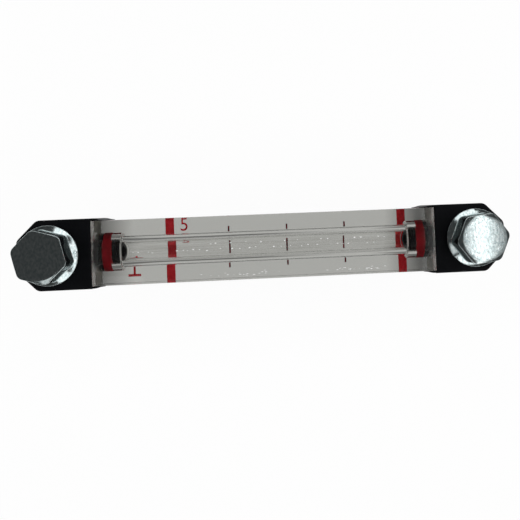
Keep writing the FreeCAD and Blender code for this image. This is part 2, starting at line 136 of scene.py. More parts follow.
# The shank, with its waist, thread and hollow. The waist stands at the hole across.
SHANK_RADIUS = 4.95 * MM
SHANK_SLANT = 0.5 * MM
WAIST_RADIUS = 4.1 * MM
WAIST_LENGTH = 8.0 * MM
RELIEF_RADIUS = 4.3 * MM
RELIEF_LENGTH = 2.0 * MM
RELIEF_FLARE = 1.3
THREAD_PITCH = 1.5 * MM
THREAD_DEPTH = 0.9 * MM
THREAD_ROWS = 192
THREAD_ROOT_SHARE = 0.2
THREAD_FLANK_SHARE = 0.65
TIP_BEVEL = 1.0 * MM
CROSS_HOLE_RADIUS = 2.1 * MM
CROSS_HOLE_SIDES = 48
HOLLOW_RADIUS = 2.5 * MM
HOLLOW_LEAD = 0.2 * MM
HOLLOW_PAST_HOLE = 1.5 * MM
DRILL_POINT = radians(59)

# Red print on the back of the bar: five marks in even steps along X, the first
# and the last of them wide, and the places and sizes of the small ones. Noise
# makes its edges waver, and each outline lies at a depth of its own in it.
PRINT_THICKNESS = 0.06 * MM
PRINT_SUNK = 0.03 * MM
PRINT_MIDDLE = -0.3 * MM
PRINT_REACH = 11.0 * MM
FIRST_MARK = -35.5 * MM
MARK_STEP = 21.68 * MM
MARK_NAMES = ["first_wide_mark", "first_tick", "middle_tick", "last_tick", "last_wide_mark"]
WIDE_MARK_WIDTH = 3.15 * MM
TICK_WIDTH = 0.6 * MM
TICK_REACH = 7.3 * MM
NOISE_SEED = 1
PRINT_WAVER = 0.05 * MM
PRINT_STEP = 0.35 * MM
FOOT_MARK = Vector((-48.8, -9.3)) * MM
FOOT_WIDTH = 4.6 * MM
FOOT_HEIGHT = 0.9 * MM
STEM_WIDTH = 0.75 * MM
STEM_LOW = 0.8 * MM
STEM_HIGH = 3.4 * MM
FOOT_DEPTHS = (9, 10)
NUMERAL = Vector((-30.2, 8.0)) * MM
NUMERAL_HEIGHT = 4.6 * MM
NUMERAL_SHARE = 0.7

# Camera, as far from the gauge as the photograph's perspective asks, and its
# picture moved aside as the photograph was cropped.
CAMERA_PLACE = Vector((2.1, 12.5, 245.4)) * MM
CAMERA_TURN = Euler((radians(1.70), radians(-3.18), radians(-2.27)), "XYZ")
CAMERA_LENS = 40.5
CAMERA_SENSOR = 36
CAMERA_SHIFT = (-0.083, -0.1282)
CAMERA_CLIP = 0.01

# Lamps that shine straight down: name, centre, width, depth and brightness,
# where 1 looks white in a mirror. The strip and the glows are what the flat top
# of the right head mirrors, and the panels what the sloping flanges mirror.
PANELS = [
    ("right_strip", (0.2757, -0.035, 0.60), 0.015, 0.18, 3.4),
    ("right_glow", (0.254, -0.035, 0.61), 0.088, 0.18, 0.36),
    ("right_side_glow", (0.43, -0.035, 0.61), 0.25, 0.32, 0.30),
    ("right_far_panel", (0.255, 0.21, 0.61), 0.09, 0.33, 1.3),
    ("right_near_panel", (0.255, -0.27, 0.61), 0.09, 0.31, 1.4),
    ("far_panel", (0.15, 0.515, 0.60), 0.62, 0.29, 1.35),
    ("near_panel", (0.13, -0.60, 0.60), 0.54, 0.34, 1.35),
    ("left_near_panel", (-0.23, -0.27, 0.60), 0.12, 0.24, 0.7),
]
# Wide lamps at both sides, which nothing mirrors.
FILLS = [
    ("left_fill", (-0.75, 0, 0.60), 0.8, 1.2, 2.6),
    ("right_fill", (0.75, 0, 0.60), 0.8, 1.2, 2.6),
]

# The room, which is dim in mirrors. Seen through clear plastic it is lighter to
# the sides than above. The rises are the upward part of a direction.
ROOM_MIRRORED = 0.05
ROOM_RISES = (0.1, 0.6)
ROOM_THROUGH = (0.4, 0.04)

# The floor, and how bright it looks through clear plastic, which is painted shade:
# plain behind the bar, darker along X near the blocks as painted shadow of the
# blocks, and away from the gauge darker to the left as painted shade.
FLOOR_HALF = 3.0
FLOOR_OWN_WHITE = 0.95
FLOOR_THROUGH_SHADE = 0.50
FLOOR_BLOCK_SHADOW = 0.11
FLOOR_LEFT_SHADE = 0.12
BLOCK_SHADOW_X = (0.051, 0.065)
BLOCK_SHADOW_SHIFT = 0.0022
FAR_LEFT_SHADE_X = (-0.01, 0.05)
FAR_ASIDE_Y = (0.07, 0.12)

# What the noise textures span, and how far a rubbed edge turns, as a cosine.
NOISE_SPAN = (0.3, 0.7)
PATCH_SPAN = (0.42, 0.62)
RUBBED_TURNS = (1.0, 0.85)


def group_tree(name, inputs, outputs):
    """An empty shader node group; inputs are (name, kind, default) and outputs (name, kind)."""
    tree = bpy.data.node_groups.new(name, "ShaderNodeTree")
    for label, kind, default in inputs:
        socket = tree.interface.new_socket(label, in_out="INPUT", socket_type=kind)
        socket.default_value = default
    for label, kind in outputs:
        tree.interface.new_socket(label, in_out="OUTPUT", socket_type=kind)
    return tree, tree.nodes.new("NodeGroupInput"), tree.nodes.new("NodeGroupOutput")


def add_node(tree, kind, inputs=(), **settings):
    """A node with its settings; inputs are (socket, value or the output that feeds it)."""
    node = tree.nodes.new(kind)
    for label, value in settings.items():
        setattr(node, label, value)
    for label, value in dict(inputs).items():
        if isinstance(value, bpy.types.NodeSocket):
            tree.links.new(value, node.inputs[label])
        else:
            node.inputs[label].default_value = value
    return node


def ranged(tree, value, source, target, **settings):
    """A value moved from one range to another; the ends are numbers or outputs."""
    inputs = {
        "Value": value,
        "From Min": source[0],
        "From Max": source[1],
        "To Min": target[0],
        "To Max": target[1],
    }
    return add_node(tree, "ShaderNodeMapRange", inputs, **settings).outputs["Result"]


def maths(tree, operation, *values):
    """What a maths node makes of its values, which are numbers or outputs."""
    return add_node(tree, "ShaderNodeMath", dict(enumerate(values)), operation=operation).outputs[0]


def object_place(tree):
    """Where on the object a ray meets it."""
    return add_node(tree, "ShaderNodeTexCoord").outputs["Object"]


def make_grain_group():
    """Clouded noise between two values, drawn out along any axis."""
    tree, given, result = group_tree(
        "surface_grain",
        [
            ("Stretch", "NodeSocketVector", (1, 1, 1)),
            ("Scale", "NodeSocketFloat", 1000),
            ("Detail", "NodeSocketFloat", 4),
            ("Low", "NodeSocketFloat", 0),
            ("High", "NodeSocketFloat", 1),
        ],
        [("Value", "NodeSocketFloat")],
    )
    drawn = add_node(
        tree,
        "ShaderNodeVectorMath",
        {0: object_place(tree), 1: given.outputs["Stretch"]},
        operation="MULTIPLY",
    )
    cloud = add_node(
        tree,
        "ShaderNodeTexNoise",
        {"Vector": drawn.outputs[0], "Scale": given.outputs["Scale"], "Detail": given.outputs["Detail"]},
    )
    levels = (given.outputs["Low"], given.outputs["High"])
    spread = ranged(tree, cloud.outputs["Fac"], NOISE_SPAN, levels)
    tree.links.new(spread, result.inputs["Value"])
    return tree


def make_speck_group():
    """Scattered small round specks, such as pits, dust or bubbles."""
    tree, given, result = group_tree(
        "scattered_specks",
        [
            ("Scale", "NodeSocketFloat", 800),
            ("Size", "NodeSocketFloat", 0.15),
            ("Share", "NodeSocketFloat", 0.3),
        ],
        [("Mask", "NodeSocketFloat")],
    )
    cells = add_node(
        tree, "ShaderNodeTexVoronoi", {"Vector": object_place(tree), "Scale": given.outputs["Scale"]}
    )
    reach = (given.outputs["Size"], 0)
    inside = ranged(tree, cells.outputs["Distance"], reach, (0, 1), interpolation_type="SMOOTHSTEP")
    tone = add_node(tree, "ShaderNodeSeparateColor", {"Color": cells.outputs["Color"]})
    chosen = maths(tree, "LESS_THAN", tone.outputs["Red"], given.outputs["Share"])
    tree.links.new(maths(tree, "MULTIPLY", inside, chosen), result.inputs["Mask"])
    return tree


def make_edge_group():
    """Mask of rubbed edges, broken up by noise."""
    tree, given, result = group_tree(
        "rubbed_edges",
        [("Radius", "NodeSocketFloat", 0.0003), ("Grain", "NodeSocketFloat", 900)],
        [("Mask", "NodeSocketFloat")],
    )
    rounded = add_node(tree, "ShaderNodeBevel", {"Radius": given.outputs["Radius"]}, samples=6)
    plain = add_node(tree, "ShaderNodeNewGeometry")
    along = add_node(
        tree,
        "ShaderNodeVectorMath",
        {0: rounded.outputs["Normal"], 1: plain.outputs["Normal"]},
        operation="DOT_PRODUCT",
    )
    turned = ranged(tree, along.outputs["Value"], RUBBED_TURNS, (0, 1))
    patches = add_node(
        tree,
        "ShaderNodeTexNoise",
        {"Vector": object_place(tree), "Scale": given.outputs["Grain"], "Detail": 5.0},
    )
    broken = ranged(tree, patches.outputs["Fac"], PATCH_SPAN, (0, 1))
    tree.links.new(maths(tree, "MULTIPLY", turned, broken), result.inputs["Mask"])
    return tree


GRAIN = make_grain_group()
SPECKS = make_speck_group()
EDGES = make_edge_group()


class Finish:
    """A material with one Principled shader, and short ways to feed it."""

    def __init__(self, name, **constants):
        self.material = bpy.data.materials.new(name)
        self.material.use_nodes = True
        self.tree = self.material.node_tree
        self.shader = self.tree.nodes["Principled BSDF"]
        self.output = self.tree.nodes["Material Output"]
        for label, value in constants.items():
            self.shader.inputs[label.replace("_", " ")].default_value = value

    def node(self, kind, inputs=(), **settings):
        return add_node(self.tree, kind, inputs, **settings)

    def filled(self, tree, named):
        node = self.node("ShaderNodeGroup", node_tree=tree)
        for label, value in named.items():
            node.inputs[label].default_value = value
        return node

    def grain(self, scale, low=0.0, high=1.0, stretch=(1, 1, 1), detail=4.0):
        node = self.filled(
            GRAIN, {"Scale": scale, "Low": low, "High": high, "Stretch": stretch, "Detail": detail}
        )
        return node.outputs["Value"]

    def specks(self, scale, size, share):
        return self.filled(SPECKS, {"Scale": scale, "Size": size, "Share": share}).outputs["Mask"]

    def edges(self, radius, grain):
        return self.filled(EDGES, {"Radius": radius, "Grain": grain}).outputs["Mask"]

    def mix(self, share, first, second):
        """A colour between two, each a colour or an output."""
        node = self.node("ShaderNodeMix", data_type="RGBA")
        for place, value in ((0, share), (6, first), (7, second)):
            if isinstance(value, bpy.types.NodeSocket):
                self.tree.links.new(value, node.inputs[place])
            else:
                node.inputs[place].default_value = value
        return node.outputs[2]

    def sum(self, first, second, weight=1.0):
        """first + second * weight, as values."""
        return maths(self.tree, "MULTIPLY_ADD", second, weight, first)

    def attribute(self, name):
        return self.node("ShaderNodeAttribute", attribute_name=name).outputs["Fac"]

    def feed(self, label, output):
        self.tree.links.new(output, self.shader.inputs[label])

    def bump(self, *heights):
        """Normal from several (height, distance) pairs, coarse to fine."""
        normal = None
        for height, distance in heights:
            inputs = {"Height": height, "Distance": distance, "Strength": 1.0}
            if normal:
                inputs["Normal"] = normal
            normal = self.node("ShaderNodeBump", inputs).outputs["Normal"]
        self.feed("Normal", normal)


def grey(value):
    return (value, value, value, 1)


def clear_plastic():
    """Clear bar: polished, with draw lines along it, a grey cast in its depth, and machined sockets."""
    finish = Finish("clear_acrylic_bar", Transmission_Weight=1.0, IOR=1.49)
    lines = finish.grain(420, stretch=(0.05, 1, 1), detail=3.0)
    ripples = finish.grain(160, stretch=(0.35, 1, 1), detail=1.0)
    streaks = finish.mix(finish.grain(1500, stretch=(0.03, 1, 1)), (0.76, 0.76, 0.74, 1), grey(1.0))
    finish.feed("Base Color", finish.mix(finish.attribute("bored"), (0.94, 0.94, 0.90, 1), streaks))
    polish = finish.grain(260, low=0.0, high=0.04, stretch=(0.2, 1, 1))
    place = finish.node("ShaderNodeSeparateXYZ", {"Vector": object_place(finish.tree)})
    from_middle = maths(finish.tree, "ABSOLUTE", place.outputs["X"])
    last_stretch = (BAR_HALF_LENGTH - DULL_LENGTH, BAR_HALF_LENGTH)
    dull = ranged(finish.tree, from_middle, last_stretch, (0, DULL_ROUGHNESS))
    finish.feed("Roughness", finish.sum(finish.sum(polish, finish.attribute("cut_roughness")), dull))
    finish.bump((ripples, 0.012 * MM), (lines, 0.004 * MM))
    haze = finish.node("ShaderNodeVolumeAbsorption", {"Color": (0.50, 0.52, 0.49, 1), "Density": 14.0})
    finish.tree.links.new(haze.outputs["Volume"], finish.output.inputs["Volume"])
    return finish.material


def black_plastic():
    """Moulded black plastic: fine moulded grain, a few scuffs, rubbed edges and light dust."""
    finish = Finish("black_moulded_plastic", Specular_IOR_Level=0.1)
    base = finish.mix(finish.grain(120), (0.0018, 0.002, 0.0026, 1), (0.004, 0.0043, 0.0055, 1))
    scuffed = finish.mix(finish.edges(radius=0.25 * MM, grain=900), base, (0.016, 0.017, 0.018, 1))
    dusty = finish.mix(finish.specks(900, size=0.12, share=0.05), scuffed, (0.05, 0.05, 0.048, 1))
    finish.feed("Base Color", dusty)
    finish.feed("Roughness", finish.grain(300, low=0.46, high=0.62))
    finish.bump((finish.grain(90, detail=2.0), 0.012 * MM), (finish.grain(2600, detail=2.0), 0.006 * MM))
    return finish.material


def zinc():
    """Bright zinc plate on forged steel: mottled sheen, pits, and duller rubbed edges."""
    finish = Finish("zinc_plated_steel", Metallic=1.0)
    cloud = finish.grain(1300, stretch=(1, 0.6, 1), detail=5.0)
    base = finish.mix(cloud, (0.46, 0.56, 0.57, 1), (0.80, 0.87, 0.87, 1))
    pitted = finish.mix(finish.specks(700, size=0.16, share=0.10), base, (0.46, 0.48, 0.48, 1))
    edges = finish.edges(radius=0.25 * MM, grain=1500)
    finish.feed("Base Color", finish.mix(edges, pitted, (0.90, 0.92, 0.92, 1)))
    mottle = finish.grain(1800, low=0.09, high=0.15, stretch=(1, 0.5, 1))
    finish.feed("Roughness", finish.sum(mottle, edges, weight=0.2))
    dents = finish.grain(500, stretch=(1, 0.5, 1), detail=1.0)
    finish.bump((dents, 0.0011 * MM), (finish.grain(3000), 0.0011 * MM))
    return finish.material


def rubber(name, dark, light, roughness):
    """Moulded rubber: matt, with faint cloudy tone and a fine skin."""
    finish = Finish(name, Specular_IOR_Level=0.12)
    base = finish.mix(finish.grain(500), dark, light)
    finish.feed("Base Color", finish.mix(finish.specks(1400, size=0.14, share=0.06), base, grey(0.10)))
    finish.feed("Roughness", finish.grain(900, low=roughness - 0.08, high=roughness + 0.08))
    finish.bump((finish.grain(600), 0.01 * MM), (finish.grain(3500), 0.004 * MM))
    return finish.material


def red_print(name, dark, light):
    """Screen-printed red ink, with pinholes and an uneven coat."""
    finish = Finish(name, Specular_IOR_Level=0.08)
    base = finish.mix(finish.grain(900, detail=6.0), dark, light)
    pinholes = finish.specks(2600, size=0.2, share=0.10)
    finish.feed("Base Color", finish.mix(pinholes, base, (0.80, 0.22, 0.23, 1)))
    finish.feed("Roughness", finish.grain(1200, low=0.6, high=0.8))
    finish.bump((finish.grain(2500), 0.004 * MM))
    return finish.material


def end_shade():
    """Painted shade between the bar's end and the block: a brownish grey, cloudy sheet."""
    finish = Finish("painted_joint_shade", Specular_IOR_Level=0.3)
    # Painted shade: brownish grey where the end of the bar meets its block.
    base = finish.mix(finish.grain(260), (0.17, 0.161, 0.136, 1), (0.31, 0.295, 0.25, 1))
    finish.feed("Base Color", base)
    finish.feed("Roughness", finish.grain(700, low=0.5, high=0.8))
    finish.bump((finish.grain(900), 0.004 * MM))
    return finish.material


def highlight_paint_finish():
    """Painted highlights: white and pale grey, for glints of the lamps on the bar."""
    finish = Finish("painted_highlight", Specular_IOR_Level=0.5)
    # Painted highlight: white and pale grey that stand for glints of the lamps.
    finish.feed("Base Color", finish.mix(finish.grain(1200), grey(0.72), grey(0.95)))
    finish.feed("Roughness", finish.grain(2600, low=0.2, high=0.5))
    finish.bump((finish.grain(4000), 0.004 * MM))
    return finish.material


def seen_rays(tree):
    """Two outputs: whether a ray sees a surface, and whether it does so through clear plastic."""
    path = add_node(tree, "ShaderNodeLightPath")
    through = path.outputs["Is Transmission Ray"]
    seen = maths(tree, "MAXIMUM", path.outputs["Is Camera Ray"], path.outputs["Is Glossy Ray"])
    return maths(tree, "MAXIMUM", seen, through), through


def floor_finish():
    """Pale matt floor; part of its white is its own for rays that see it, so that shadows stay faint, and
    through clear plastic it is painted darker as shade.
    """
    finish = Finish("pale_floor", Specular_IOR_Level=0.1, Roughness=0.9)
    finish.feed("Base Color", finish.mix(finish.grain(40, detail=6.0), grey(0.86), grey(0.90)))
    tree = finish.tree
    seen, through = seen_rays(tree)
    place = finish.node("ShaderNodeSeparateXYZ", {"Vector": object_place(tree)})
    aside = maths(tree, "ABSOLUTE", place.outputs["Y"])
    along = maths(tree, "ABSOLUTE", maths(tree, "ADD", place.outputs["X"], BLOCK_SHADOW_SHIFT))
    # Painted shade: seen through clear plastic the floor is dimmed, more near the blocks as their painted
    # shadow, and to the left away from the gauge.
    far = ranged(tree, place.outputs["X"], FAR_LEFT_SHADE_X, (FLOOR_LEFT_SHADE, FLOOR_THROUGH_SHADE))
    near = ranged(tree, along, BLOCK_SHADOW_X, (FLOOR_THROUGH_SHADE, FLOOR_BLOCK_SHADOW))
    dimmed = ranged(tree, aside, FAR_ASIDE_Y, (near, far))
    brightness = finish.node("ShaderNodeMix", {0: through, 2: 1.0, 3: dimmed}, data_type="FLOAT")
    white = finish.node("ShaderNodeEmission", {"Color": grey(1), "Strength": brightness.outputs[0]})
    share = maths(tree, "MULTIPLY", seen, FLOOR_OWN_WHITE)
    blend = finish.node("ShaderNodeMixShader", {0: share})
    tree.links.new(finish.shader.outputs["BSDF"], blend.inputs[1])
    tree.links.new(white.outputs["Emission"], blend.inputs[2])
    tree.links.new(blend.outputs["Shader"], finish.output.inputs["Surface"])
    return finish.material


CLEAR = clear_plastic()
BLACK = black_plastic()
ZINC = zinc()
RED_RUBBER = rubber("red_rubber_ring", (0.18, 0.001, 0.004, 1), (0.32, 0.004, 0.012, 1), 0.5)
BLACK_RUBBER = rubber("black_rubber_ring", grey(0.010), grey(0.022), 0.62)
RED_INK = red_print("red_print_ink", (0.80, 0.020, 0.034, 1), (0.94, 0.040, 0.060, 1))
DARK_INK = red_print("dark_red_print_ink", (0.13, 0.004, 0.012, 1), (0.24, 0.008, 0.022, 1))
JOINT_SHADE = end_shade()
HIGHLIGHT_PAINT = highlight_paint_finish()


def shaded(mesh, angle):
    """Smooth faces, with edges sharper than the angle, in degrees, kept crisp."""
    mesh.polygons.foreach_set("use_smooth", [True] * len(mesh.polygons))
    mesh.set_sharp_from_angle(angle=radians(angle))


def add_piece(name, bm, material, angle=30):
    """A finished piece, with its material, and its edges sharp beyond the angle."""
    bmesh.ops.recalc_face_normals(bm, faces=bm.faces)
    mesh = bpy.data.meshes.new(name)
    bm.to_mesh(mesh)
    bm.free()
    mesh.materials.append(material)
    shaded(mesh, angle)
    piece = bpy.data.objects.new(name, mesh)
    bpy.context.scene.collection.objects.link(piece)
    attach(piece, "root")
    return piece


def evaluated_mesh(piece):
    """A new mesh of a piece as its modifiers or its text make it."""
    bpy.context.view_layer.update()
    return bpy.data.meshes.new_from_object(piece.evaluated_get(bpy.context.evaluated_depsgraph_get()))


def dress(node, material):
    """Give a CAD node, whose shape is right, its finish."""
    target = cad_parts[node]
    target.data.materials.clear()
    target.data.materials.append(material)


def arc(centre, radius, start, stop, count):
    """Points of an arc in a plane, from one angle to another, in degrees."""
    turns = [radians(start + (stop - start) * step / count) for step in range(count + 1)]
    return [(centre[0] + radius * cos(t), centre[1] + radius * sin(t)) for t in turns]


def loft(bm, rings, closed=False):
    """Join rings of as many points each by quads; closed ends get one face each."""
    made = [[bm.verts.new(point) for point in ring] for ring in rings]
    count = len(made[0])
    for lower, upper in zip(made, made[1:]):
        for place in range(count):
            after = (place + 1) % count
            bm.faces.new((lower[place], lower[after], upper[after], upper[place]))
    if closed:
        bm.faces.new(made[0])
        bm.faces.new(made[-1])
    return made


def edge_between(first, second):
    """The edge that joins two vertices."""
    return next(edge for edge in first.link_edges if edge.other_vert(first) == second)


def make_clear_bar():
    """Clear bar with rounded long edges, a bore along it and a socket at each end."""
    bm = bmesh.new()
    end = BAR_HALF_LENGTH - END_GAP
    half_width = BAR_HIGH.y
    half_depth = (BAR_HIGH.z - BAR_LOW.z) / 2
    corner_y = half_width - EDGE_RADIUS
    corner_z = half_depth - EDGE_RADIUS
    outline = []
    for quarter, (y, z) in enumerate([(1, 1), (-1, 1), (-1, -1), (1, -1)]):
        outline += arc((y * corner_y, z * corner_z), EDGE_RADIUS, 90 * quarter, 90 * quarter + 90, 4)
    stations = [-end + 2 * end * step / BAR_STEPS for step in range(BAR_STEPS + 1)]
    outer = loft(bm, [[(x, y, OIL_AXIS + z) for y, z in outline] for x in stations])
    shoulder = end - SOCKET_DEPTH
    half = [
        (end, SOCKET_RADIUS + SOCKET_LEAD),
        (end - SOCKET_LEAD, SOCKET_RADIUS),
        (shoulder + SOCKET_LEAD, SOCKET_RADIUS),
        (shoulder, SOCKET_RADIUS - SOCKET_LEAD),
        (shoulder, BORE_RADIUS),
    ]
    bore = [(-shoulder + 2 * shoulder * step / BORE_STEPS, BORE_RADIUS) for step in range(1, BORE_STEPS)]
    wall = [(-x, radius) for x, radius in half] + bore + half[::-1]
    turns = [tau * step / TURN_STEPS for step in range(TURN_STEPS)]
    inner = loft(bm, [[(x, r * cos(turn), OIL_AXIS + r * sin(turn)) for turn in turns] for x, r in wall])
    for place in (0, -1):
        edges = []
        for ring in (outer[place], inner[place]):
            edges += [edge_between(ring[step], ring[step - 1]) for step in range(len(ring))]
        bmesh.ops.triangle_fill(bm, use_beauty=True, edges=edges)
    piece = add_piece("clear_bar", bm, CLEAR, angle=25)
    mark_cut_faces(piece.data, shoulder)
    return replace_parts(piece, "sight_bar")


def mark_cut_faces(mesh, shoulder):
    """Record for the finish which faces lie in the bore, and how rough each was left by cutting."""
    bored = mesh.attributes.new("bored", "FLOAT", "FACE")
    rough = mesh.attributes.new("cut_roughness", "FLOAT", "FACE")
    for polygon in mesh.polygons:
        centre = polygon.center
        from_axis = sqrt(centre.y**2 + (centre.z - OIL_AXIS) ** 2)
        inside = from_axis < SOCKET_RADIUS + SOCKET_LEAD
        if abs(centre.x) > BAR_HALF_LENGTH - 2 * END_GAP:
            rough.data[polygon.index].value = END_ROUGHNESS
        elif inside and abs(centre.x) > shoulder + SOCKET_LEAD:
            rough.data[polygon.index].value = SOCKET_ROUGHNESS
        elif inside and abs(centre.x) > shoulder - END_GAP:
            rough.data[polygon.index].value = SHOULDER_ROUGHNESS
        elif inside:
            bored.data[polygon.index].value = 1.0


def make_spigot_ring(end):
    """Red ring on a spigot, squeezed between groove and socket, bulging at both sides."""
    node = end + "_spigot_ring"
    low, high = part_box(node)
    outer = SOCKET_RADIUS + RING_GRIP
    inner = outer - RING_HEIGHT
    section = []
    corners = [(high.x, outer), (low.x, outer), (low.x, inner), (high.x, inner)]
    for quarter, (x, radius) in enumerate(corners):
        inward_x = -1 if x == high.x else 1
        inward_r = -1 if radius == outer else 1
        centre = (x + inward_x * RING_ROUND, radius + inward_r * RING_ROUND)
        section += arc(centre, RING_ROUND, 90 * quarter, 90 * quarter + 90, 8)
    turns = [tau * step / RING_STEPS for step in range(RING_STEPS)]
    bm = bmesh.new()
    made = loft(bm, [[(x, r * cos(turn), OIL_AXIS + r * sin(turn)) for turn in turns] for x, r in section])
    for place in range(len(turns)):
        bm.faces.new((made[-1][place - 1], made[-1][place], made[0][place], made[0][place - 1]))
    piece = add_piece(end + "_seal", bm, RED_RUBBER, angle=60)
    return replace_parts(piece, node)


def hexagon_columns():
    """Angles round the bolt, closer at the hexagon's rounded corners."""
    turns = []
    corner_steps = range(-HEX_CORNER_STEPS, HEX_CORNER_STEPS + 1)
    near_corner = [corner_touch() * step / HEX_CORNER_STEPS for step in corner_steps]
    along_flat = [radians(turn) for turn in HEX_FLAT_TURNS]
    for side in range(6):
        turns += [side * pi / 3 + turn for turn in near_corner + along_flat]
    return turns


def corner_touch():
    """Angle from a corner of the hexagon to where its rounding meets the flat."""
    centre = (HEX_HALF - HEX_CORNER_ROUND) / cos(pi / 6)
    return atan2(HEX_CORNER_ROUND * sin(pi / 6), centre + HEX_CORNER_ROUND * cos(pi / 6))


def hexagon_radius(turn):
    """Distance from the axis to the hexagon with rounded corners."""
    from_corner = (turn + pi / 6) % (pi / 3) - pi / 6
    centre = (HEX_HALF - HEX_CORNER_ROUND) / cos(pi / 6)
    if abs(from_corner) < corner_touch():
        across = centre * sin(from_corner)
        return centre * cos(from_corner) + sqrt(HEX_CORNER_ROUND**2 - across**2)
    return HEX_HALF / cos(pi / 6 - abs(from_corner))


def thread_radius(turn, height):
    """Radius of the shank's thread at one point."""
    share = (height / THREAD_PITCH - turn / tau) % 1
    crest = abs(2 * share - 1)
    rise = min(max((crest - THREAD_ROOT_SHARE) / THREAD_FLANK_SHARE, 0), 1)
    return SHANK_RADIUS - THREAD_DEPTH * (1 - rise)


def bolt_column(turn, head_top):
    """Outline of the bolt from the middle of its top, down its outside and up its hollow."""
    across = hexagon_radius(turn)
    points = [(HEX_SOFT_START * share, head_top) for share in HEX_TOP_SHARES]
    # The flat top runs into the bevel over a curve that grows steeper.
    for step in range(HEX_SOFT_STEPS + 1):
        share = step / HEX_SOFT_STEPS
        drop = HEX_BEVEL_SLOPE * HEX_SOFT_WIDTH * share**3 / 3
        points.append((HEX_SOFT_START + HEX_SOFT_WIDTH * share, head_top - drop))
    edge_r = across - HEX_EDGE_ROUND
    steep = sqrt(1 + HEX_BEVEL_SLOPE**2)
    bevel_run = edge_r - HEX_SOFT_START - HEX_SOFT_WIDTH * 2 / 3
    edge_z = head_top - HEX_BEVEL_SLOPE * bevel_run - HEX_EDGE_ROUND * steep
    bevel_turn = 90 - atan(HEX_BEVEL_SLOPE) * 180 / pi
    points += arc((edge_r, edge_z), HEX_EDGE_ROUND, bevel_turn, 0, 8)
    rim = FLANGE_RADIUS - FLANGE_ROUND
    flange_top = BLOCK_FRONT + FLANGE_RIM
    flange_slope = FLANGE_RISE / (rim - HEX_HALF)
    foot = flange_top + flange_slope * (rim - across)
    points += [(across + out, foot + up) for out, up in FILLET_POINTS]
    points += [
        (across + FILLET_REACH, foot - FILLET_REACH * flange_slope),
        ((across + rim) / 2, (foot + flange_top) / 2),
    ]
    slope_turn = 90 - atan(flange_slope) * 180 / pi
    points += arc((rim, flange_top - FLANGE_ROUND), FLANGE_ROUND, slope_turn, 0, 6)
    points += arc((rim, BLOCK_FRONT + FLANGE_ROUND), FLANGE_ROUND, 0, -90, 4)
    waist_low = OIL_AXIS - WAIST_LENGTH / 2
    waist_high = OIL_AXIS + WAIST_LENGTH / 2
    points += [
        (SHANK_RADIUS, BLOCK_FRONT),
        (SHANK_RADIUS, waist_high + SHANK_SLANT),
        (WAIST_RADIUS, waist_high),
        (WAIST_RADIUS, waist_low),
        (SHANK_RADIUS, waist_low - SHANK_SLANT),
        (SHANK_RADIUS, SEAT_HEIGHT + RELIEF_LENGTH),
        (RELIEF_RADIUS, SEAT_HEIGHT + RELIEF_LENGTH - SHANK_SLANT),
        (RELIEF_RADIUS, SEAT_HEIGHT + SHANK_SLANT),
    ]
    for row in range(THREAD_ROWS + 1):
        height = SEAT_HEIGHT * (1 - row / THREAD_ROWS)
        at_tip = SHANK_RADIUS - TIP_BEVEL + height
        at_relief = RELIEF_RADIUS + (SEAT_HEIGHT + SHANK_SLANT - height) * RELIEF_FLARE
        points.append((min(thread_radius(turn, height), at_tip, at_relief), height))
    hollow_top = OIL_AXIS + CROSS_HOLE_RADIUS + HOLLOW_PAST_HOLE
    points += [
        (HOLLOW_RADIUS + HOLLOW_LEAD, 0),
        (HOLLOW_RADIUS, HOLLOW_LEAD),
        (HOLLOW_RADIUS, hollow_top),
    ]
    return points, hollow_top + HOLLOW_RADIUS / tan(DRILL_POINT)


def make_bolt(end):
    """Flanged hexagon bolt with its thread, waist, hollow and the hole across it."""
    node = end + "_hollow_bolt"
    low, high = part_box(node)
    middle = (low.x + high.x) / 2
    bm = bmesh.new()
    columns = []
    for turn in hexagon_columns():
        points, drill_point = bolt_column(turn, high.z)
        direction = turn + BOLT_TURNS[end]
        columns.append([(middle + r * cos(direction), r * sin(direction), z) for r, z in points])
    rings = [list(ring) for ring in zip(*columns)]
    made = loft(bm, rings)
    for ring, height in ((made[0], high.z), (made[-1], drill_point)):
        tip = bm.verts.new((middle, 0, height))
        for place in range(len(ring)):
            bm.faces.new((ring[place], ring[place - 1], tip))
    piece = add_piece(end + "_bolt", bm, ZINC, angle=28)
    drill_across(piece, middle, BOLT_TURNS[end])
    even = piece.modifiers.new("even_shading", "WEIGHTED_NORMAL")
    even.keep_sharp = True
    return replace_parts(piece, node)


def drill_across(piece, middle, turn):
    """Cut the hole across the bolt on the oil axis."""
    bm = bmesh.new()
    bmesh.ops.create_cone(
        bm,
        cap_ends=True,
        segments=CROSS_HOLE_SIDES,
        radius1=CROSS_HOLE_RADIUS,
        radius2=CROSS_HOLE_RADIUS,
        depth=4 * SHANK_RADIUS,
    )
    mesh = bpy.data.meshes.new("drill")
    bm.to_mesh(mesh)
    bm.free()
    drill = bpy.data.objects.new("drill", mesh)
    bpy.context.scene.collection.objects.link(drill)
    place = Matrix.Translation((middle, 0, OIL_AXIS))
    drill.matrix_world = place @ Matrix.Rotation(turn, 4, "Z") @ Matrix.Rotation(pi / 2, 4, "X")
    cut = piece.modifiers.new("hole", "BOOLEAN")
    cut.operation = "DIFFERENCE"
    cut.object = drill
    result = evaluated_mesh(piece)
    piece.modifiers.clear()
    piece.data = result
    bpy.data.objects.remove(drill)


def add_print(name, outlines, ink=RED_INK):
    """A field of red print on the back of the bar; each outline is a closed list of (x, y)."""
    bm = bmesh.new()
    top = BAR_LOW.z + PRINT_SUNK
    for outline in outlines:
        faces = [[(x, y, level) for x, y in outline] for level in (top, top - PRINT_THICKNESS)]
        loft(bm, faces, closed=True)
    bmesh.ops.triangulate(bm, faces=bm.faces)
    add_piece(name, bm, ink)


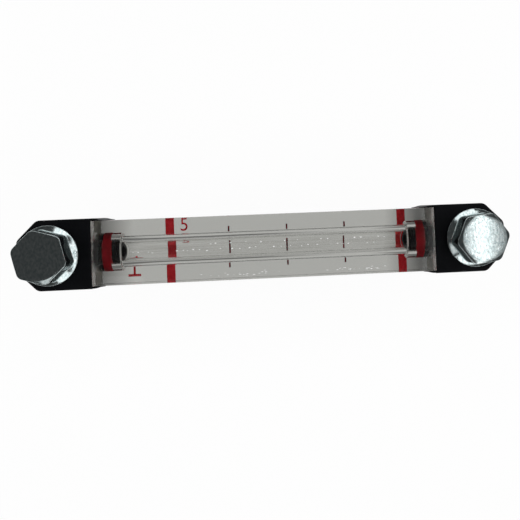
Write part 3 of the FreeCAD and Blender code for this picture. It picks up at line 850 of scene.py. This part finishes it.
def print_field(middle_x, low_y, high_y, width, depth):
    """Outline of a printed field whose edges waver as ink does."""
    low_x = middle_x - width / 2
    high_x = middle_x + width / 2
    corners = [(low_x, low_y), (high_x, low_y), (high_x, high_y), (low_x, high_y)]
    outline = []
    for place, (x, y) in enumerate(corners):
        next_x, next_y = corners[(place + 1) % 4]
        count = max(2, round(max(abs(next_x - x), abs(next_y - y)) / PRINT_STEP))
        for part in range(count):
            share = part / count
            at = Vector((x + (next_x - x) * share, y + (next_y - y) * share))
            drift = noise.noise_vector(Vector((at.x / MM, at.y / MM, depth)))
            outline.append((at.x + drift.x * PRINT_WAVER, at.y + drift.y * PRINT_WAVER))
    return outline


def make_print():
    """Red level marks: two wide bars, three thin ticks, a foot mark and a plain numeral."""
    # Without a seed of its own this noise takes the time as one, and differs from run to run.
    noise.seed_set(NOISE_SEED)
    for place, name in enumerate(MARK_NAMES):
        wide = name.endswith("wide_mark")
        reach = PRINT_REACH if wide else TICK_REACH
        width = WIDE_MARK_WIDTH if wide else TICK_WIDTH
        middle = FIRST_MARK + place * MARK_STEP
        field = print_field(middle, PRINT_MIDDLE - reach, PRINT_MIDDLE + reach, width, place)
        add_print(name, [field], RED_INK if wide else DARK_INK)
    x, low = FOOT_MARK
    foot = print_field(x, low, low + FOOT_HEIGHT, FOOT_WIDTH, FOOT_DEPTHS[0])
    stem = print_field(x, low + STEM_LOW, low + STEM_HIGH, STEM_WIDTH, FOOT_DEPTHS[1])
    add_print("foot_mark", [foot, stem])
    make_numeral()


def make_numeral():
    """Plain numeral beside the first wide mark."""
    words = bpy.data.curves.new("numeral", "FONT")
    words.body = "5"
    words.size = NUMERAL_HEIGHT / NUMERAL_SHARE
    words.align_x = "CENTER"
    words.align_y = "CENTER"
    words.extrude = PRINT_THICKNESS / 2
    holder = bpy.data.objects.new("numeral_words", words)
    bpy.context.scene.collection.objects.link(holder)
    mesh = evaluated_mesh(holder)
    bpy.data.objects.remove(holder)
    bm = bmesh.new()
    bm.from_mesh(mesh)
    level = BAR_LOW.z + PRINT_SUNK - PRINT_THICKNESS / 2
    bmesh.ops.translate(bm, verts=bm.verts, vec=(NUMERAL.x, NUMERAL.y, level))
    bmesh.ops.remove_doubles(bm, verts=bm.verts, dist=PRINT_THICKNESS / 10)
    add_piece("numeral", bm, RED_INK)


def make_end_shade(end):
    """Sheet of painted shade on the lower part of one end of the bar, round its socket."""
    side = -1 if end == "left" else 1
    outer = BAR_HALF_LENGTH - SHADE_INSET
    reach_y = BAR_HIGH.y - SHADE_MARGIN
    low_z = BAR_LOW.z + SHADE_MARGIN
    radius = SOCKET_RADIUS + SOCKET_LEAD + SHADE_MARGIN
    rise = asin((SHADE_TOP - OIL_AXIS) / radius) * 180 / pi
    outline = [(-reach_y, SHADE_TOP), (-reach_y, low_z), (reach_y, low_z), (reach_y, SHADE_TOP)]
    outline += arc((0, OIL_AXIS), radius, rise, -180 - rise, 40)
    bm = bmesh.new()
    faces = [[(side * x, y, z) for y, z in outline] for x in (outer, outer - SHADE_THICKNESS)]
    loft(bm, faces, closed=True)
    bmesh.ops.triangulate(bm, faces=bm.faces)
    add_piece(end + "_painted_joint_shade", bm, JOINT_SHADE)


def add_sliver(bm, middle, length, width):
    """Thin pointed sliver along X."""
    x, y, z = middle
    outline = [(x - length / 2, y), (x, y - width / 2), (x + length / 2, y), (x, y + width / 2)]
    faces = [[(px, py, level) for px, py in outline] for level in (z, z - GLINT_THICKNESS)]
    loft(bm, faces, closed=True)


def make_painted_glints():
    """Small painted highlights above the bore, and more along the near edge of the bar."""
    chance = random.Random(GLINT_SEED)
    level = BAR_HIGH.z + GLINT_THICKNESS / 2
    bm = bmesh.new()
    for place in range(GLINT_COUNT):
        jitter = chance.uniform(-GLINT_JITTER, GLINT_JITTER)
        x = GLINT_START + GLINT_SPAN * (place + jitter) / GLINT_COUNT
        row = ONE_ROW_Y if x < ONE_ROW_TO else chance.choice(TWO_ROWS_Y)
        y = row * MM + chance.gauss(0, GLINT_ROW_SPREAD) * MM
        size = chance.uniform(*GLINT_SIZES)
        if abs(x - FIRST_MARK) < GLINT_MARK_GAP:
            continue
        add_sliver(bm, (x, y, level), GLINT_LENGTH * size, GLINT_WIDTH * size)
    # Painted highlights along the near edge of the bar.
    for _ in range(GLINT_COUNT):
        x = chance.choice(EDGE_GLINT_PATCHES) + chance.gauss(0, EDGE_GLINT_SPREAD[0]) * MM
        y = EDGE_GLINT_Y + chance.gauss(0, EDGE_GLINT_SPREAD[1]) * MM
        size = chance.uniform(*EDGE_GLINT_SIZES)
        add_sliver(bm, (x, y, level), 2 * GLINT_LENGTH * size, GLINT_WIDTH * size)
    add_piece("painted_glints", bm, HIGHLIGHT_PAINT)


def make_floor():
    """The floor the gauge stands on, which isn't part of it."""
    bm = bmesh.new()
    bmesh.ops.create_grid(bm, x_segments=8, y_segments=8, size=FLOOR_HALF)
    mesh = bpy.data.meshes.new("floor")
    bm.to_mesh(mesh)
    bm.free()
    mesh.materials.append(floor_finish())
    floor = bpy.data.objects.new("floor", mesh)
    bpy.context.scene.collection.objects.link(floor)


def add_panel(name, centre, width, depth, brightness, mirrored):
    """A soft light that shines straight down."""
    lamp = bpy.data.lights.new(name, "AREA")
    lamp.shape = "RECTANGLE"
    lamp.size = width
    lamp.size_y = depth
    lamp.energy = brightness * pi * width * depth
    holder = bpy.data.objects.new(name, lamp)
    holder.location = centre
    # What metal mirrors isn't seen again inside the clear plastic, and the fills are seen only there.
    holder.visible_glossy = mirrored
    holder.visible_transmission = not mirrored
    bpy.context.scene.collection.objects.link(holder)


def make_light():
    """The lamps, and a room that is white for the camera alone."""
    for panel in PANELS:
        add_panel(*panel, mirrored=True)
    for fill in FILLS:
        add_panel(*fill, mirrored=False)
    world = bpy.data.worlds.new("room")
    bpy.context.scene.world = world
    world.use_nodes = True
    tree = world.node_tree
    room = tree.nodes["Background"]
    room.inputs["Color"].default_value = grey(1)
    path = add_node(tree, "ShaderNodeLightPath")
    way = add_node(tree, "ShaderNodeTexCoord").outputs["Generated"]
    rise = add_node(tree, "ShaderNodeSeparateXYZ", {"Vector": way}).outputs["Z"]
    seen_through = ranged(tree, rise, ROOM_RISES, ROOM_THROUGH)
    dim = ranged(tree, path.outputs["Is Transmission Ray"], (0, 1), (ROOM_MIRRORED, seen_through))
    strength = ranged(tree, path.outputs["Is Camera Ray"], (0, 1), (dim, 1))
    tree.links.new(strength, room.inputs["Strength"])


def make_camera():
    """The camera, where the photograph was taken from."""
    lens = bpy.data.cameras.new("camera")
    lens.lens = CAMERA_LENS
    lens.sensor_width = CAMERA_SENSOR
    lens.shift_x, lens.shift_y = CAMERA_SHIFT
    lens.clip_start = CAMERA_CLIP
    camera = bpy.data.objects.new("camera", lens)
    camera.location = CAMERA_PLACE
    camera.rotation_euler = CAMERA_TURN
    bpy.context.scene.collection.objects.link(camera)
    bpy.context.scene.camera = camera


def main():
    make_camera()
    make_floor()
    make_light()
    make_clear_bar()
    make_print()
    make_painted_glints()
    for end in BOLT_TURNS:
        make_bolt(end)
        make_spigot_ring(end)
        make_end_shade(end)
        dress(end + "_end_block", BLACK)
        dress(end + "_head_ring", RED_RUBBER)
        dress(end + "_wall_ring", BLACK_RUBBER)
    bpy.context.scene.view_settings.view_transform = "Standard"


main()
